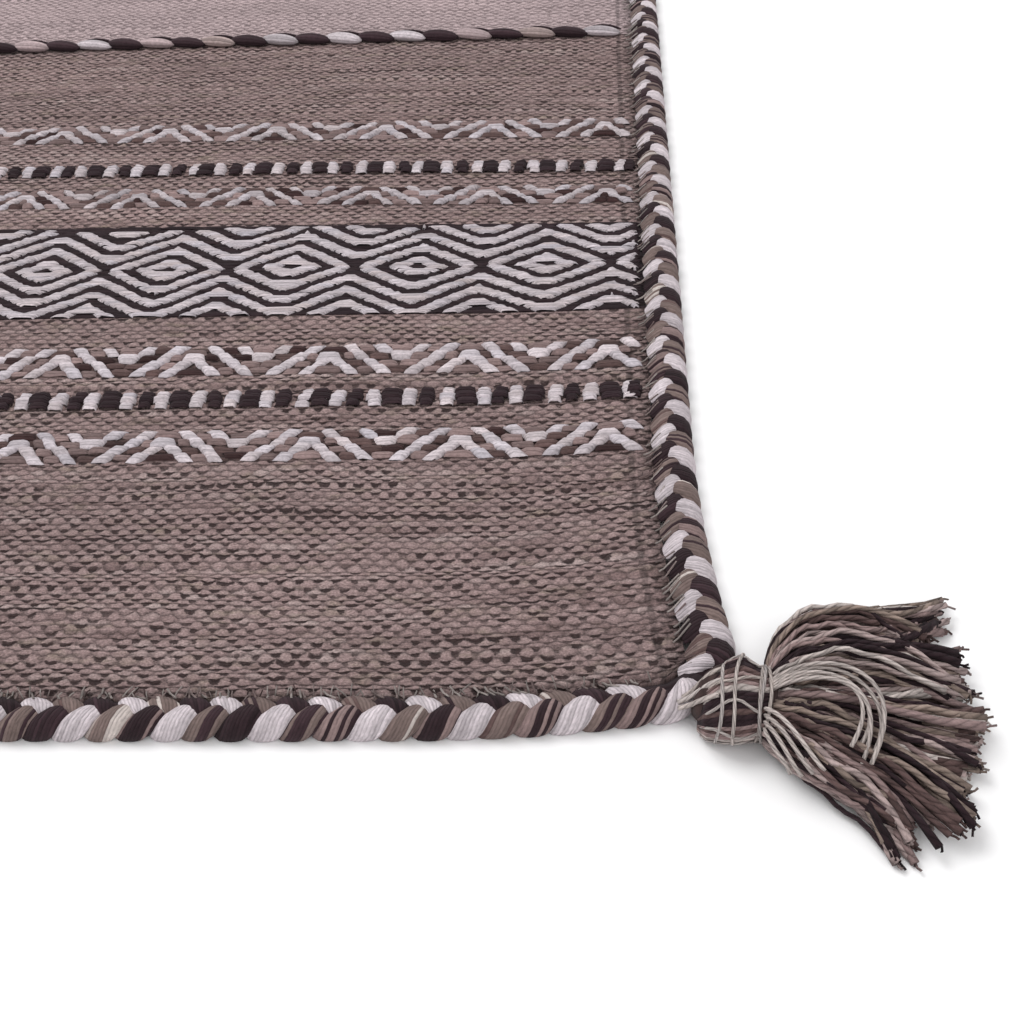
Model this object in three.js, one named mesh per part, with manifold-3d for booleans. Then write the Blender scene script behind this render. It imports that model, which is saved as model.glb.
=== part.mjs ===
// A flat-woven kilim rug, lying flat: one woven field, two twisted cords laid across it,
// a plaited edging sewn along each side and a tassel at each corner.
// Millimetres. X runs across the rug, Y along it, Z up. The origin is on the floor, under the middle.

import * as THREE from 'three';
import { mergeVertices } from 'three/addons/utils/BufferGeometryUtils.js';
import Module from 'manifold-3d';

const wasm = await Module();
wasm.setup();

// Overall sizes, outside the edging
const RUG_WIDTH = 1200;
const RUG_LENGTH = 1800;
const PIECE_GAP = 0.5;

// Woven field
const FIELD_THICKNESS = 4.5;
const FIELD_CORNER_RADIUS = 14;
const WIDE_STEP = 160;
const EDGE_STEP = 30;

// Rows of raised floats, measured from the middle of the diamond band of an end panel
const BAND_CENTRE = 578;
const RAISED_BANDS = [
  { name: 'outer zigzag', offset: 153.5, width: 23, rise: 1.6 },
  { name: 'outer blocks', offset: 117.5, width: 14, rise: 3.2 },
  { name: 'inner zigzag', offset: 89, width: 24, rise: 1.6 },
  { name: 'diamonds', offset: 3, width: 87, rise: 1.4 },
  { name: 'nearer zigzag', offset: -72, width: 20, rise: 1.6 },
  { name: 'nearer blocks', offset: -105.5, width: 14, rise: 3.2 },
  { name: 'end zigzag', offset: -154, width: 24, rise: 1.6 },
];
const BAND_SHOULDER = 2.5;

// Twisted cords across the field
const CORD_LINE = 281;
const CORD_WIDTH = 14;
const CORD_HEIGHT = 6;
const CORD_LUMP = 21.6;
const CORD_WAIST = 0.62;
// Round the cord: shares of its half width and of its height, and how far the lump leans there, in lumps
const CORD_SECTION = [
  { name: 'front foot', side: -0.75, lift: 0, lean: 0 },
  { name: 'front', side: -1, lift: 0.45, lean: -0.3 },
  { name: 'top', side: 0, lift: 1, lean: 0 },
  { name: 'back', side: 1, lift: 0.45, lean: 0.3 },
  { name: 'back foot', side: 0.75, lift: 0, lean: 0 },
];

// Plaited edging: each chunk is one strand showing on the face
const PLAIT_WIDTH = 16.5;
const PLAIT_HEIGHT = 10;
const PLAIT_GROOVE = 7;
const PLAIT_CHUNK = 12;
const PLAIT_COARSE = 24;
// Round the plait: how far out from the field, how high, and the turn of the wave where chunks stand up
const PLAIT_SECTION = [
  { name: 'inner foot', out: 0.5, height: 0 },
  { name: 'outer foot', out: 15, height: 0 },
  { name: 'outer side', out: PLAIT_WIDTH, height: 4 },
  { name: 'outer chunks', out: 12, chunkTurn: 0 },
  { name: 'inner chunks', out: 4.6, chunkTurn: Math.PI },
  { name: 'inner side', out: 0, height: 4.2 },
];
const CORNER_STEPS = 3;

// How unevenly the rug lies: corners drawn out sideways and drawn back lengthways, rows drifting
const CORNER_FLARE = 13;
const FLARE_START = 740;
const CORNER_SWEEP = 14;
const SWEEP_START = 480;
const ROW_DRIFT = 11;
const DRIFT_CENTRE = 470;
const DRIFT_REACH = 150;

// Tassel, along its own axis from the corner outwards. It sits a little towards the rug's end of the corner.
const TASSEL_PLACE = 66;
const TASSEL_TURN = -8;
const TASSEL_SETBACK = 2;
const HEAD_SIDES = 12;
const HEAD_RIDGE = 0.05;
// lean moves a section towards the rug's end, clear of the edging that comes round the corner
const HEAD_SECTIONS = [
  { along: 0, halfWidth: 5, halfHeight: 6, lean: 6 },
  { along: 3, halfWidth: 11, halfHeight: 9.8, lean: 5 },
  { along: 8, halfWidth: 16, halfHeight: 11.4, lean: 2 },
  { along: 13, halfWidth: 18, halfHeight: 11.2, lean: 0 },
  { along: 19, halfWidth: 15, halfHeight: 9.8, lean: 0 },
  { along: 20, halfWidth: 16.3, halfHeight: 10.5, lean: 0 },
  { along: 23, halfWidth: 16.3, halfHeight: 10.5, lean: 0 },
  { along: 24, halfWidth: 14.5, halfHeight: 9.4, lean: 0 },
];
const STRAND_LAYERS = [
  { name: 'floor', count: 11, root: 4, bend: 4, tip: 1.7, rootSpread: 22, fan: 50, reach: 77 },
  { name: 'middle', count: 9, root: 9.5, bend: 14, tip: 5.8, rootSpread: 22, fan: 46, reach: 74 },
  { name: 'top', count: 8, root: 15, bend: 27, tip: 10, rootSpread: 17, fan: 41, reach: 66 },
];
const STRAND_ROOT = 20;
const STRAND_THICKNESS = 3.4;
const STRAND_ROOT_WIDTH = 1.7;
const STRAND_TIP_WIDTH = 4;
const STRAND_STEPS = 3;
const STRAND_UNEVEN = 5;
const STRAND_UNEVEN_STEP = 2.4;
const STRAND_BEND_ALONG = 0.2;
const STRAND_BEND_OUT = 0.38;
const STRAND_LEVEL = 0.4;

const HALF_WIDTH = RUG_WIDTH / 2;
const HALF_LENGTH = RUG_LENGTH / 2;
const FIELD_HALF_WIDTH = HALF_WIDTH - PLAIT_WIDTH - PIECE_GAP;
const FIELD_HALF_LENGTH = HALF_LENGTH - PLAIT_WIDTH - PIECE_GAP;

const yarn = (color, roughness) => new THREE.MeshStandardMaterial({ color, roughness, metalness: 0 });
const FIELD_YARN = yarn(0x8c7a70, 0.95);
const CORD_YARN = yarn(0x6f6361, 0.95);
const PLAIT_YARN = yarn(0x857972, 0.95);
const TASSEL_YARN = yarn(0x8f8276, 0.95);

const ramp = (value, start, end) => THREE.MathUtils.clamp((value - start) / (end - start), 0, 1);
const bell = (value) => Math.exp(-value * value);

// Moves a point of the straight rectangle to where the laid rug has it.
function settle(x, y) {
  const across = x / FIELD_HALF_WIDTH;
  const along = Math.abs(y) / HALF_LENGTH;
  const flare = CORNER_FLARE * ramp(Math.abs(y), FLARE_START, HALF_LENGTH) ** 2 * across ** 3;
  const sweep = CORNER_SWEEP * ramp(Math.abs(x), SWEEP_START, HALF_WIDTH) ** 2 * along ** 3;
  const inner = Math.max(0, 1 - Math.abs(across) ** 3);
  const drift = ROW_DRIFT * inner * bell((Math.abs(y) - DRIFT_CENTRE) / DRIFT_REACH);
  return [x + flare, y - Math.sign(y) * (sweep + drift)];
}

// A rail is a list of points in order, each with the place along the rail that it stands at.
function railPoint(place, x, y, z) {
  const [settledX, settledY] = settle(x, y);
  return { place, at: [settledX, settledY, z] };
}

// Fills the strip between two rails with triangles, stepping along whichever rail is behind.
function zip(lower, upper, triangles) {
  let i = 0;
  let j = 0;
  while (i < lower.length - 1 || j < upper.length - 1) {
    const lowerNext = i < lower.length - 1 ? lower[i + 1].place : Infinity;
    const upperNext = j < upper.length - 1 ? upper[j + 1].place : Infinity;
    if (lowerNext <= upperNext) {
      triangles.push([lower[i].at, lower[i + 1].at, upper[j].at]);
      i += 1;
    } else {
      triangles.push([lower[i].at, upper[j + 1].at, upper[j].at]);
      j += 1;
    }
  }
}

function geometryOf(triangles) {
  const geometry = new THREE.BufferGeometry();
  geometry.setAttribute('position', new THREE.Float32BufferAttribute(triangles.flat(2), 3));
  geometry.computeVertexNormals();
  return geometry;
}

// A long solid: rails in order round its section, closed by a fan at each end.
function solidFromRails(rails) {
  const triangles = [];
  rails.forEach((rail, index) => zip(rail, rails[(index + 1) % rails.length], triangles));
  const starts = rails.map((rail) => rail[0].at);
  const ends = rails.map((rail) => rail[rail.length - 1].at);
  for (let index = 1; index < rails.length - 1; index += 1) {
    triangles.push([starts[0], starts[index], starts[index + 1]]);
    triangles.push([ends[0], ends[index + 1], ends[index]]);
  }
  return geometryOf(triangles);
}

const mirrored = (values) => [...new Set(values.flatMap((value) => [-value, value]))].sort((a, b) => a - b);

function evenly(start, end, step) {
  const count = Math.max(1, Math.round((end - start) / step));
  return Array.from({ length: count + 1 }, (_, index) => start + ((end - start) * index) / count);
}

// Height of the woven face at a distance from the middle of the rug's length.
function fieldHeight(distance) {
  const rise = RAISED_BANDS.map((band) => {
    const inside = band.width / 2 - Math.abs(distance - BAND_CENTRE - band.offset);
    return band.rise * ramp(inside, 0, BAND_SHOULDER);
  });
  return FIELD_THICKNESS + Math.max(...rise);
}

// Rounds the field's corners.
function fieldPlace(x, y) {
  const cornerX = FIELD_HALF_WIDTH - FIELD_CORNER_RADIUS;
  const cornerY = FIELD_HALF_LENGTH - FIELD_CORNER_RADIUS;
  const outX = Math.max(0, Math.abs(x) - cornerX);
  const outY = Math.max(0, Math.abs(y) - cornerY);
  const out = Math.hypot(outX, outY);
  const keep = out > FIELD_CORNER_RADIUS ? FIELD_CORNER_RADIUS / out : 1;
  const placeX = Math.min(Math.abs(x), cornerX) + outX * keep;
  const placeY = Math.min(Math.abs(y), cornerY) + outY * keep;
  return [Math.sign(x) * placeX, Math.sign(y) * placeY];
}

// The woven field: a flat underside, and a face with the rows of floats standing up as low ribs.
function field() {
  const cornerX = FIELD_HALF_WIDTH - FIELD_CORNER_RADIUS;
  const cornerY = FIELD_HALF_LENGTH - FIELD_CORNER_RADIUS;
  const middleColumns = evenly(0, SWEEP_START, WIDE_STEP);
  const edgeColumns = [...evenly(SWEEP_START, cornerX, EDGE_STEP), FIELD_HALF_WIDTH];
  const columns = mirrored([...middleColumns, ...edgeColumns]);
  const edgeRows = [...evenly(FLARE_START + EDGE_STEP, cornerY, EDGE_STEP), FIELD_HALF_LENGTH];
  const bandRows = RAISED_BANDS.flatMap((band) => {
    const middle = BAND_CENTRE + band.offset;
    const foot = band.width / 2;
    const shoulder = foot - BAND_SHOULDER;
    return [middle - foot, middle - shoulder, middle + shoulder, middle + foot];
  });
  const faceRows = mirrored([0, CORD_LINE / 2, CORD_LINE, ...bandRows, ...edgeRows]);
  const floorRows = mirrored([0, CORD_LINE, BAND_CENTRE, FLARE_START, ...edgeRows]);

  const point = (place, x, y, z) => railPoint(place, ...fieldPlace(x, y), z);
  const faceRail = (y) => columns.map((x) => point(x, x, y, fieldHeight(Math.abs(y))));
  const floorRail = (y) => columns.map((x) => point(x, x, y, 0));
  const sideRail = (rows, x, height) => rows.map((y) => point(y, x, y, height(Math.abs(y))));
  const flat = () => 0;

  const triangles = [];
  const faces = faceRows.map(faceRail);
  const floors = floorRows.map(floorRail);
  faces.slice(1).forEach((rail, index) => zip(faces[index], rail, triangles));
  floors.slice(1).forEach((rail, index) => zip(rail, floors[index], triangles));
  zip(floors[0], faces[0], triangles);
  zip(faces[faces.length - 1], floors[floors.length - 1], triangles);
  const [left, right] = [-FIELD_HALF_WIDTH, FIELD_HALF_WIDTH];
  zip(sideRail(floorRows, right, flat), sideRail(faceRows, right, fieldHeight), triangles);
  zip(sideRail(faceRows, left, fieldHeight), sideRail(floorRows, left, flat), triangles);
  return geometryOf(triangles);
}

// A two-strand cord lying on the face: lens-shaped lumps, each leaning along the twist.
function twistedCord(end) {
  const reach = FIELD_HALF_WIDTH - 2 * PIECE_GAP;
  const lumpCount = Math.round((2 * reach) / CORD_LUMP);
  const fine = evenly(-reach, reach, CORD_LUMP / 2);
  const coarse = evenly(-reach, reach, CORD_LUMP);
  const swell = (x, lean) => {
    const turn = ((x + reach) / (2 * reach)) * lumpCount - lean;
    return CORD_WAIST + (1 - CORD_WAIST) * Math.sin(Math.PI * turn) ** 2;
  };
  const foot = FIELD_THICKNESS + PIECE_GAP;
  const middle = end * CORD_LINE;
  const half = CORD_WIDTH / 2;
  const rail = ({ side, lift, lean }) => (lift > 0 ? fine : coarse).map((x) => {
    const size = swell(x, lean);
    return railPoint(x, x, middle + side * half * size, foot + lift * CORD_HEIGHT * size);
  });
  return solidFromRails(CORD_SECTION.map(rail));
}

// A plaited strip along one side of the rug, from the middle of one corner to the middle of the next.
// Its two columns of chunks stand up by turns. In the side's own frame u runs along it and v outwards.
function plait(length, toRug) {
  const inner = FIELD_CORNER_RADIUS;
  const straight = length / 2 - PLAIT_WIDTH - PIECE_GAP - inner;
  const chunkCount = 2 * Math.round(straight / PLAIT_CHUNK);
  const chunk = (2 * straight) / chunkCount;
  const bend = (side) => Array.from({ length: CORNER_STEPS }, (_, index) => ({
    place: side * (straight + index + 1),
    side,
    angle: ((index + 1) * Math.PI) / 4 / CORNER_STEPS,
  }));
  const run = (step) => evenly(-straight, straight, step).map((u) => ({ place: u, side: 0, angle: 0 }));
  const stations = (step) => [...bend(-1).reverse(), ...run(step), ...bend(1)];

  // The ends stop short of the corner's middle by half the gap, measured across the strip.
  const at = (station, out) => {
    const radius = inner + PIECE_GAP + out;
    const bent = station.side * (straight + radius * Math.sin(station.angle));
    const u = station.side === 0 ? station.place : bent;
    const v = radius * Math.cos(station.angle) - inner;
    const isEnd = Math.abs(station.place) === straight + CORNER_STEPS;
    const trim = isEnd ? (station.side * PIECE_GAP) / 2 : 0;
    return [u - trim * Math.SQRT1_2, v + Math.abs(trim) * Math.SQRT1_2];
  };
  const chunkHeight = (station, turn) => {
    const middle = (PLAIT_HEIGHT + PLAIT_GROOVE) / 2;
    const swing = station.side === 0 ? (PLAIT_HEIGHT - PLAIT_GROOVE) / 2 : 0;
    return middle + swing * Math.cos((2 * Math.PI * (station.place + straight)) / chunk + turn);
  };
  const rail = ({ out, height, chunkTurn }) => {
    const isChunks = chunkTurn !== undefined;
    return stations(isChunks ? chunk / 2 : PLAIT_COARSE).map((station) => {
      const [x, y] = toRug(...at(station, out));
      return railPoint(station.place, x, y, isChunks ? chunkHeight(station, chunkTurn) : height);
    });
  };
  return solidFromRails(PLAIT_SECTION.map(rail));
}

function manifoldOf(geometry) {
  const bare = geometry.clone();
  bare.deleteAttribute('normal');
  bare.deleteAttribute('uv');
  const merged = mergeVertices(bare);
  const vertProperties = new Float32Array(merged.attributes.position.array);
  const triVerts = new Uint32Array(merged.index.array);
  return new wasm.Manifold(new wasm.Mesh({ numProp: 3, vertProperties, triVerts }));
}

// A loft through sections of equal point counts, closed by a fan at each end.
function loft(sections) {
  const rail = (side) => sections.map((section, place) => ({ place, at: section[side] }));
  return solidFromRails(sections[0].map((_, side) => rail(side)));
}

// The netted head and its neck wrap: a ridged barrel lying on the floor, its underside level.
function tasselHead() {
  const sections = HEAD_SECTIONS.map((section) => Array.from({ length: HEAD_SIDES }, (_, side) => {
    const angle = (2 * Math.PI * (side + 0.5)) / HEAD_SIDES;
    const ridge = 1 + HEAD_RIDGE * (side % 2 ? -1 : 1);
    const y = section.lean - section.halfWidth * ridge * Math.cos(angle);
    const z = section.halfHeight * (1 + ridge * Math.sin(angle));
    const underside = Math.sin(angle) < -Math.sin(Math.PI / 3);
    return [section.along, y, underside ? 0 : z];
  }));
  return loft(sections);
}

// One lock of yarn: four-sided, leaving the neck straight, bending out and coming down level.
function tasselStrand(layer, index) {
  const side = (2 * (index + 0.5)) / layer.count - 1;
  const angle = THREE.MathUtils.degToRad(layer.fan * side);
  const reach = layer.reach + STRAND_UNEVEN * Math.sin(STRAND_UNEVEN_STEP * index + layer.reach);
  const along = (share) => STRAND_ROOT + reach * share;
  const rootY = (side * layer.rootSpread) / 2;
  const bendY = rootY + reach * STRAND_BEND_OUT * Math.sin(angle);
  const root = new THREE.Vector3(STRAND_ROOT, rootY, layer.root);
  const bend = new THREE.Vector3(along(STRAND_BEND_ALONG), bendY, layer.bend);
  const tip = new THREE.Vector3(along(Math.cos(angle)), reach * Math.sin(angle), layer.tip);
  const level = tip.clone().lerp(bend, STRAND_LEVEL).setZ(layer.tip);
  const path = new THREE.CubicBezierCurve3(root, bend, level, tip);
  const sections = Array.from({ length: STRAND_STEPS + 1 }, (_, step) => {
    const share = step / STRAND_STEPS;
    const centre = path.getPoint(share);
    const ahead = path.getTangent(share).setZ(0).normalize();
    const half = THREE.MathUtils.lerp(STRAND_ROOT_WIDTH, STRAND_TIP_WIDTH, share) / 2;
    const corner = (out, lift) => [
      centre.x - ahead.y * out * half,
      centre.y + ahead.x * out * half,
      centre.z + (lift * STRAND_THICKNESS) / 2,
    ];
    return [corner(1, -1), corner(-1, -1), corner(-1, 1), corner(1, 1)];
  });
  return loft(sections);
}

function tasselGeometry() {
  let body = manifoldOf(tasselHead());
  for (const layer of STRAND_LAYERS) {
    for (let index = 0; index < layer.count; index += 1) {
      body = body.add(manifoldOf(tasselStrand(layer, index)));
    }
  }
  const mesh = body.getMesh();
  const geometry = new THREE.BufferGeometry();
  geometry.setAttribute('position', new THREE.Float32BufferAttribute(mesh.vertProperties, 3));
  geometry.setIndex(Array.from(mesh.triVerts));
  return geometry;
}

// Sets the tassel at one corner: side is left or right, end is the near or far end of the rug.
function placedTassel(geometry, side, end) {
  const radius = FIELD_CORNER_RADIUS + PIECE_GAP + PLAIT_WIDTH;
  const place = THREE.MathUtils.degToRad(TASSEL_PLACE);
  const [cornerX, cornerY] = settle(
    HALF_WIDTH - radius * (1 - Math.cos(place)),
    HALF_LENGTH - radius * (1 - Math.sin(place)),
  );
  const turn = THREE.MathUtils.degToRad(-TASSEL_TURN);
  const placed = geometry.clone();
  placed.applyMatrix4(new THREE.Matrix4().makeTranslation(TASSEL_SETBACK, 0, 0));
  placed.applyMatrix4(new THREE.Matrix4().makeRotationZ(turn));
  placed.applyMatrix4(new THREE.Matrix4().makeTranslation(cornerX, cornerY, 0));
  placed.applyMatrix4(new THREE.Matrix4().makeScale(side, end, 1));
  if (side * end < 0) {
    const index = Array.from(placed.index.array);
    placed.setIndex(index.map((_, slot) => index[slot - (slot % 3) + [0, 2, 1][slot % 3]]));
  }
  placed.computeVertexNormals();
  return placed;
}

const rug = new THREE.Group();
function add(name, geometry, material) {
  const mesh = new THREE.Mesh(geometry, material);
  mesh.name = name;
  rug.add(mesh);
}

add('field', field(), FIELD_YARN);
add('cord_front', twistedCord(-1), CORD_YARN);
add('cord_back', twistedCord(1), CORD_YARN);
add('edging_front', plait(RUG_WIDTH, (u, v) => [u, -FIELD_HALF_LENGTH - v]), PLAIT_YARN);
add('edging_right', plait(RUG_LENGTH, (u, v) => [FIELD_HALF_WIDTH + v, u]), PLAIT_YARN);
add('edging_back', plait(RUG_WIDTH, (u, v) => [-u, FIELD_HALF_LENGTH + v]), PLAIT_YARN);
add('edging_left', plait(RUG_LENGTH, (u, v) => [-FIELD_HALF_WIDTH - v, -u]), PLAIT_YARN);

const tassel = tasselGeometry();
add('tassel_front_right', placedTassel(tassel, 1, -1), TASSEL_YARN);
add('tassel_front_left', placedTassel(tassel, -1, -1), TASSEL_YARN);
add('tassel_back_right', placedTassel(tassel, 1, 1), TASSEL_YARN);
add('tassel_back_left', placedTassel(tassel, -1, 1), TASSEL_YARN);

export default rug;
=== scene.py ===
import math

import bpy
import numpy as np
from mathutils import Matrix, Vector


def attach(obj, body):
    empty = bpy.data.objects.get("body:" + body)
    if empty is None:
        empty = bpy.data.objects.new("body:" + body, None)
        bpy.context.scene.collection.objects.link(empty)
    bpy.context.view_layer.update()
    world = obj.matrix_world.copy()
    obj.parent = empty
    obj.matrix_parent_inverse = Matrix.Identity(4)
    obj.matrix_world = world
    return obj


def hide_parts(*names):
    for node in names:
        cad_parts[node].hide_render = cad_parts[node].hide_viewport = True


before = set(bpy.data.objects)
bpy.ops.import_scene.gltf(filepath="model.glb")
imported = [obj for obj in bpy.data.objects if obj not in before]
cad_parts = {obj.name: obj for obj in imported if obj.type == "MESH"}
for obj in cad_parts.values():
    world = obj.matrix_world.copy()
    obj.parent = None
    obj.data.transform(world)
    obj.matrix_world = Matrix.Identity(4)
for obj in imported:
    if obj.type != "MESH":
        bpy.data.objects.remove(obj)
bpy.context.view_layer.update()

MM = 0.001
rng = np.random.default_rng(20)
yarn_rng = np.random.default_rng(11)

# Sizes in millimetres, as in the part's source
RUG_WIDTH = 1200
RUG_LENGTH = 1800
PIECE_GAP = 0.5
FIELD_CORNER_RADIUS = 14
BAND_CENTRE = 578
CORD_LINE = 281
PLAIT_WIDTH = 16.5
CORNER_FLARE = 13
FLARE_START = 740
CORNER_SWEEP = 14
SWEEP_START = 480
ROW_DRIFT = 11
DRIFT_CENTRE = 470
DRIFT_REACH = 150
HALF_WIDTH = RUG_WIDTH / 2
HALF_LENGTH = RUG_LENGTH / 2
FIELD_HALF_WIDTH = HALF_WIDTH - PLAIT_WIDTH - PIECE_GAP
FIELD_HALF_LENGTH = HALF_LENGTH - PLAIT_WIDTH - PIECE_GAP

# Weave: the pattern's repeat, the rows, the bumps along a row and the pockets between them, darkened with
# painted shade
REPEAT = 66.4
PICK = 3.2
BUMP = REPEAT / 9
ROW_SWELL = 0.17
POCKET_LENGTH = 3.6
POCKET_WIDTH = 1.9
WEAVE_RELIEF = 2.0
FIELD_TOP = 4.4
FIELD_STEP = 12
HEM_LINE = 574
PATTERN_END = 580
LAST_FLOAT = PATTERN_END - 4

# Bands of an end panel, from its middle towards the rug's end
DIAMOND_OFFSET = 3
DIAMOND_HALF = 43.5
BLOCK_OFFSETS = (117.5, -105.5)
ZIGZAGS = (
    {"offset": 152.3, "height": 21.0, "length": 7.0, "white": 0.97},
    {"offset": 86.0, "height": 22.5, "length": 7.0, "white": 0.95},
    {"offset": -72.7, "height": 18.5, "length": 5.8, "white": 0.82},
    {"offset": -155.5, "height": 21.0, "length": 6.2, "white": 0.84},
)

# Strands begin at multiples of this length in the yarn coordinates, picked at random
STRAND_SPACING = 2000.0


def srgb(red, green, blue):
    """A colour given as screen values 0 to 255, as linear light."""
    values = np.array([red, green, blue]) / 255
    return np.where(values <= 0.04045, values / 12.92, ((values + 0.055) / 1.055) ** 2.4)


TAUPE = srgb(144, 123, 121)
TAUPE_PALE = srgb(166, 148, 145)
TAUPE_OLIVE = srgb(137, 121, 112)
TAUPE_DARK = srgb(94, 75, 73)
# Brown of the painted shade in the pockets between the weave's bumps
POCKET_SHADE = srgb(50, 35, 35)
BARK = srgb(47, 34, 38)
OFF_WHITE = srgb(196, 186, 190)
CREAM = srgb(192, 181, 176)
GREIGE = srgb(156, 139, 140)
BROWN = srgb(117, 101, 97)


def ramp(value, start, end):
    return np.clip((value - start) / (end - start), 0, 1)


def settle(x, y):
    """Moves a point of the straight rectangle to where the laid rug has it."""
    across = x / FIELD_HALF_WIDTH
    along = np.abs(y) / HALF_LENGTH
    flare = CORNER_FLARE * ramp(np.abs(y), FLARE_START, HALF_LENGTH) ** 2 * across ** 3
    sweep = CORNER_SWEEP * ramp(np.abs(x), SWEEP_START, HALF_WIDTH) ** 2 * along ** 3
    inner = np.maximum(0, 1 - np.abs(across) ** 3)
    drift = ROW_DRIFT * inner * np.exp(-(((np.abs(y) - DRIFT_CENTRE) / DRIFT_REACH) ** 2))
    return x + flare, y - np.sign(y) * (sweep + drift)


def stacked(*values):
    """Values put side by side as the last axis, after broadcasting."""
    return np.stack(np.broadcast_arrays(*values), -1)


def settled(points):
    return stacked(*settle(points[..., 0], points[..., 1]), points[..., 2])


# Camera, where the photograph was taken from
CAMERA_PLACE = (562.4, -1257.5, 405.2)
CAMERA_PITCH = 39.753
CAMERA_YAW = 4.648
CAMERA_ROLL = -3.548
CAMERA_LENS = 52.85


def add_object(name, data):
    obj = bpy.data.objects.new(name, data)
    bpy.context.scene.collection.objects.link(obj)
    return obj


def make_camera():
    pitch, yaw, roll = (math.radians(a) for a in (CAMERA_PITCH, CAMERA_YAW, CAMERA_ROLL))
    tilt = Matrix.Rotation(math.pi / 2 - pitch, 4, "X")
    turn = Matrix.Rotation(yaw, 4, "Z") @ tilt @ Matrix.Rotation(roll, 4, "Z")
    data = bpy.data.cameras.new("camera")
    data.lens = CAMERA_LENS
    data.sensor_width = 36
    data.clip_start = 0.01
    data.clip_end = 20
    camera = add_object("camera", data)
    camera.matrix_world = Matrix.Translation(Vector(CAMERA_PLACE) * MM) @ turn
    bpy.context.scene.camera = camera


make_camera()


class Value:
    """A node's output, which can be reckoned with like a number."""

    def __init__(self, graph, socket):
        self.graph = graph
        self.socket = socket

    def __add__(self, other):
        return self.graph.math("ADD", self, other)

    def __sub__(self, other):
        return self.graph.math("SUBTRACT", self, other)

    def __rsub__(self, other):
        return self.graph.math("SUBTRACT", other, self)

    def __mul__(self, other):
        return self.graph.math("MULTIPLY", self, other)

    def __truediv__(self, other):
        return self.graph.math("DIVIDE", self, other)

    def __abs__(self):
        return self.graph.math("ABSOLUTE", self)


class Graph:
    """Short calls for building one material's nodes. Arguments are numbers, colours or values."""

    def __init__(self, name):
        self.material = bpy.data.materials.new(name)
        self.material.use_nodes = True
        self.tree = self.material.node_tree

    def fill(self, node, inputs):
        for key, value in inputs.items():
            socket = node.inputs[key]
            if isinstance(value, Value):
                self.tree.links.new(value.socket, socket)
            elif isinstance(value, np.ndarray):
                socket.default_value = [*value.tolist(), 1.0][:len(socket.default_value)]
            else:
                socket.default_value = value

    def node(self, kind, inputs, output=0, **settings):
        node = self.tree.nodes.new("ShaderNode" + kind)
        for name, value in settings.items():
            setattr(node, name, value)
        self.fill(node, inputs)
        return Value(self, node.outputs[output])

    def math(self, operation, *values):
        return self.node("Math", dict(enumerate(values)), operation=operation)

    def hump(self, share):
        """1 in the middle of a 0 to 1 share and 0 at its ends."""
        from_middle = share * 2.0 - 1.0
        return 1.0 - from_middle * from_middle

    def step(self, value, start, end):
        inputs = {"Value": value, "From Min": start, "From Max": end}
        return self.node("MapRange", inputs, interpolation_type="SMOOTHSTEP")

    def vector(self, x, y, z=0.0):
        return self.node("CombineXYZ", {0: x, 1: y, 2: z})

    def split(self, vector):
        """The first two parts of a vector."""
        return [self.node("SeparateXYZ", {0: vector}, axis) for axis in (0, 1)]

    def noise(self, vector, detail=2.0, roughness=0.5):
        inputs = {"Vector": vector, "Scale": 1.0, "Detail": detail, "Roughness": roughness}
        return self.node("TexNoise", inputs, "Fac")

    def chance(self, *place):
        """A random number from 0 to 1 that belongs to the given values."""
        return self.node("TexWhiteNoise", {"Vector": self.vector(*place)}, "Value", noise_dimensions="3D")

    def mix(self, share, a, b):
        return self.node("Mix", {0: share, 6: a, 7: b}, 2, data_type="RGBA", clamp_factor=True)

    def shade(self, colour, factor):
        """The colour times a number."""
        return self.node("VectorMath", {0: colour, "Scale": factor}, operation="SCALE")

    def attribute(self, name, output):
        return self.node("Attribute", {}, output, attribute_name=name)

    def surface(self, inputs):
        self.fill(self.tree.nodes["Principled BSDF"], inputs)
        return self.material

    def finish(self, colour, height, distance):
        """Matt cloth of this colour, with the height as bumps."""
        bump = self.node("Bump", {"Distance": distance, "Height": height})
        return self.surface({
            "Base Color": colour, "Normal": bump, "Roughness": 0.95, "Specular IOR Level": 0.12,
            "Sheen Weight": 0.03, "Sheen Roughness": 0.6,
        })


def weave_column(g, row, x):
    """Number of the bump and place along it, from -0.5 to 0.5, for the bumps of one row."""
    half = g.math("FLOORED_MODULO", row, 2.0) * 0.5
    columns = x / BUMP + half + g.chance(row, 7.0) * 0.14
    return g.math("FLOOR", columns), g.math("FRACT", columns) - 0.5


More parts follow.
